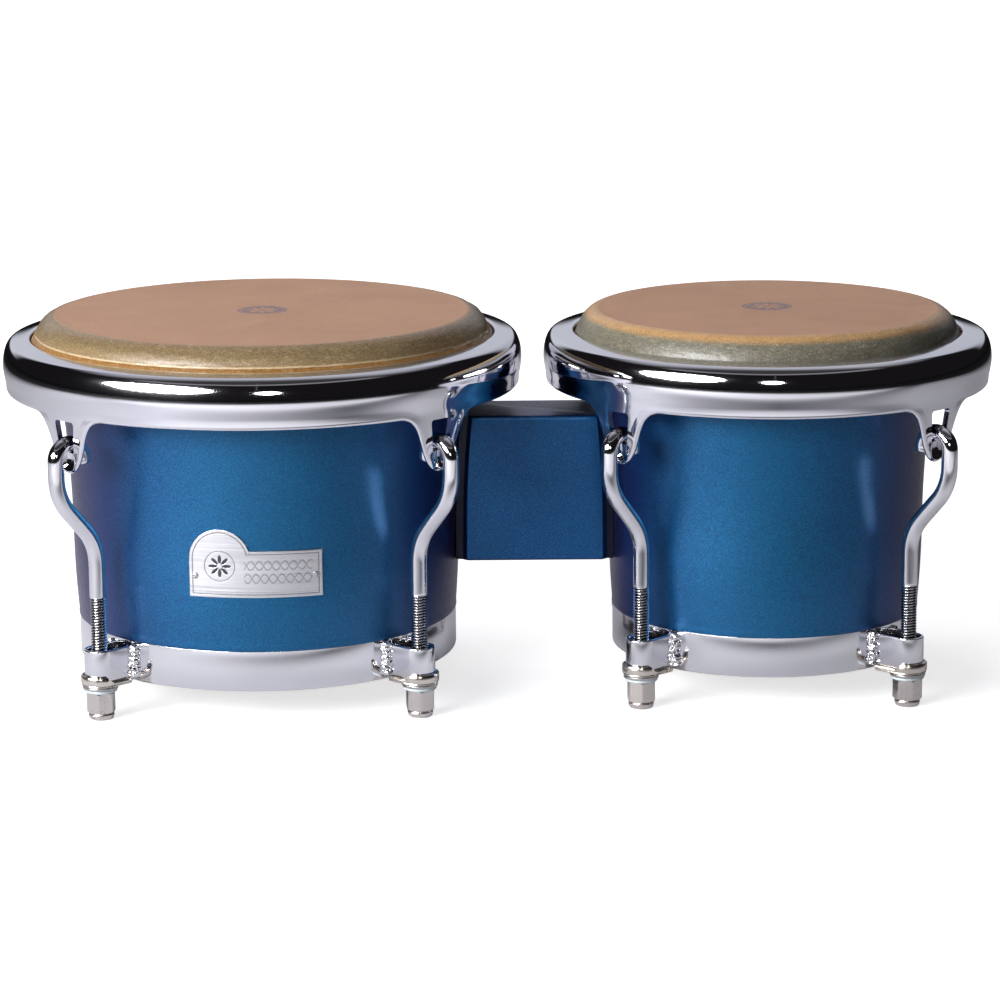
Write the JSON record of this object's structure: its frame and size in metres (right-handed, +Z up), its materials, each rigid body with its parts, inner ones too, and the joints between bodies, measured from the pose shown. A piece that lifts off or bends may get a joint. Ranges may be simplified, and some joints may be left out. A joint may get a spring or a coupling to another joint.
{
  "type": "bongo drums",
  "caption": "Pair of flared wooden hand drums bolted to a centre block, each with a rawhide head tightened by a steel rim, hook rods and nuts.",
  "frame": {"origin": "middle of the overall footprint, level with the ends of the tuning nuts, which the drums stand on", "axes": "+X from the large drum to the small drum, -Y towards the badge side (front), +Z up towards the heads"},
  "size_m": [0.4956, 0.2598, 0.1895],
  "materials": {
    "shell_paint": "satin metallic lacquer over wood, natural wood inside",
    "rawhide": "scraped rawhide, matte in the middle and glossy at the shoulder",
    "rawhide_skirt": "glossy folded rawhide with a fibrous crease",
    "hoop_wire": "plain steel wire",
    "rim_chrome": "polished chrome",
    "hook_chrome": "polished chrome with rolled thread",
    "ring_chrome": "polished chrome",
    "bracket_chrome": "chrome over lumpy weld beads",
    "saddle_nickel": "nickel-plated pressing",
    "washer_steel": "plated steel washer",
    "washer_nylon": "translucent pale blue nylon",
    "nut_nickel": "nickel-plated hex nut",
    "block_paint": "satin metallic lacquer over wood",
    "bolt_steel": "zinc-plated bolt",
    "badge_metal": "brushed plate with an engraved border",
    "pin_steel": "domed pin"
  },
  "bodies": {
    "root": {"large_shell": "shell_paint", "large_head_skin": "rawhide", "large_bottom_ring": "ring_chrome", "large_lug_brackets": "bracket_chrome", "large_saddle_washers": "saddle_nickel", "large_steel_washers": "washer_steel", "large_nylon_washers": "washer_nylon", "small_shell": "shell_paint", "small_head_skin": "rawhide", "small_bottom_ring": "ring_chrome", "small_lug_brackets": "bracket_chrome", "small_saddle_washers": "saddle_nickel", "small_steel_washers": "washer_steel", "small_nylon_washers": "washer_nylon", "centre_block": "block_paint", "block_bolts": "bolt_steel", "block_bolt_washers": "bolt_steel", "block_bolt_nuts": "bolt_steel", "badge_plate": "badge_metal", "badge_pins": "pin_steel"},
    "large_tuning_rim": {"large_rim": "rim_chrome", "large_tuning_hooks": "hook_chrome", "large_flesh_hoop": "hoop_wire", "large_skin_skirt": "rawhide_skirt"},
    "large_tuning_nut_front_left": {"large_nut_front_left": "nut_nickel"},
    "large_tuning_nut_front_right": {"large_nut_front_right": "nut_nickel"},
    "large_tuning_nut_back_left": {"large_nut_back_left": "nut_nickel"},
    "large_tuning_nut_back_right": {"large_nut_back_right": "nut_nickel"},
    "small_tuning_rim": {"small_rim": "rim_chrome", "small_tuning_hooks": "hook_chrome", "small_flesh_hoop": "hoop_wire", "small_skin_skirt": "rawhide_skirt"},
    "small_tuning_nut_front_left": {"small_nut_front_left": "nut_nickel"},
    "small_tuning_nut_front_right": {"small_nut_front_right": "nut_nickel"},
    "small_tuning_nut_back_left": {"small_nut_back_left": "nut_nickel"},
    "small_tuning_nut_back_right": {"small_nut_back_right": "nut_nickel"}
  },
  "joints": [
    {"name": "large_rim_slide", "type": "slide", "parent": "root", "child": "large_tuning_rim", "axis": [0, 0, 1], "range_m": [-0.006, 0.004], "deforming": ["large_skin_skirt"]},
    {"name": "large_nut_front_left_turn", "type": "hinge", "parent": "root", "child": "large_tuning_nut_front_left", "pos_m": [-0.19618, -0.07828, 0.007], "axis": [0, 0, 1], "range_deg": [-1155, 1730]},
    {"name": "large_nut_front_right_turn", "type": "hinge", "parent": "root", "child": "large_tuning_nut_front_right", "pos_m": [-0.03962, -0.07828, 0.007], "axis": [0, 0, 1], "range_deg": [-1155, 1730]},
    {"name": "large_nut_back_left_turn", "type": "hinge", "parent": "root", "child": "large_tuning_nut_back_left", "pos_m": [-0.19618, 0.07828, 0.007], "axis": [0, 0, 1], "range_deg": [-1155, 1730]},
    {"name": "large_nut_back_right_turn", "type": "hinge", "parent": "root", "child": "large_tuning_nut_back_right", "pos_m": [-0.03962, 0.07828, 0.007], "axis": [0, 0, 1], "range_deg": [-1155, 1730]},
    {"name": "small_rim_slide", "type": "slide", "parent": "root", "child": "small_tuning_rim", "axis": [0, 0, 1], "range_m": [-0.006, 0.004], "deforming": ["small_skin_skirt"]},
    {"name": "small_nut_front_left_turn", "type": "hinge", "parent": "root", "child": "small_tuning_nut_front_left", "pos_m": [0.0695, -0.0659, 0.007], "axis": [0, 0, 1], "range_deg": [-1155, 1730]},
    {"name": "small_nut_front_right_turn", "type": "hinge", "parent": "root", "child": "small_tuning_nut_front_right", "pos_m": [0.2013, -0.0659, 0.007], "axis": [0, 0, 1], "range_deg": [-1155, 1730]},
    {"name": "small_nut_back_left_turn", "type": "hinge", "parent": "root", "child": "small_tuning_nut_back_left", "pos_m": [0.0695, 0.0659, 0.007], "axis": [0, 0, 1], "range_deg": [-1155, 1730]},
    {"name": "small_nut_back_right_turn", "type": "hinge", "parent": "root", "child": "small_tuning_nut_back_right", "pos_m": [0.2013, 0.0659, 0.007], "axis": [0, 0, 1], "range_deg": [-1155, 1730]}
  ],
  "couplings": [
    {"joint": "large_nut_front_left_turn", "follows": "large_rim_slide", "rad_per_m": -5026.5},
    {"joint": "large_nut_front_right_turn", "follows": "large_rim_slide", "rad_per_m": -5026.5},
    {"joint": "large_nut_back_left_turn", "follows": "large_rim_slide", "rad_per_m": -5026.5},
    {"joint": "large_nut_back_right_turn", "follows": "large_rim_slide", "rad_per_m": -5026.5},
    {"joint": "small_nut_front_left_turn", "follows": "small_rim_slide", "rad_per_m": -5026.5},
    {"joint": "small_nut_front_right_turn", "follows": "small_rim_slide", "rad_per_m": -5026.5},
    {"joint": "small_nut_back_left_turn", "follows": "small_rim_slide", "rad_per_m": -5026.5},
    {"joint": "small_nut_back_right_turn", "follows": "small_rim_slide", "rad_per_m": -5026.5}
  ]
}
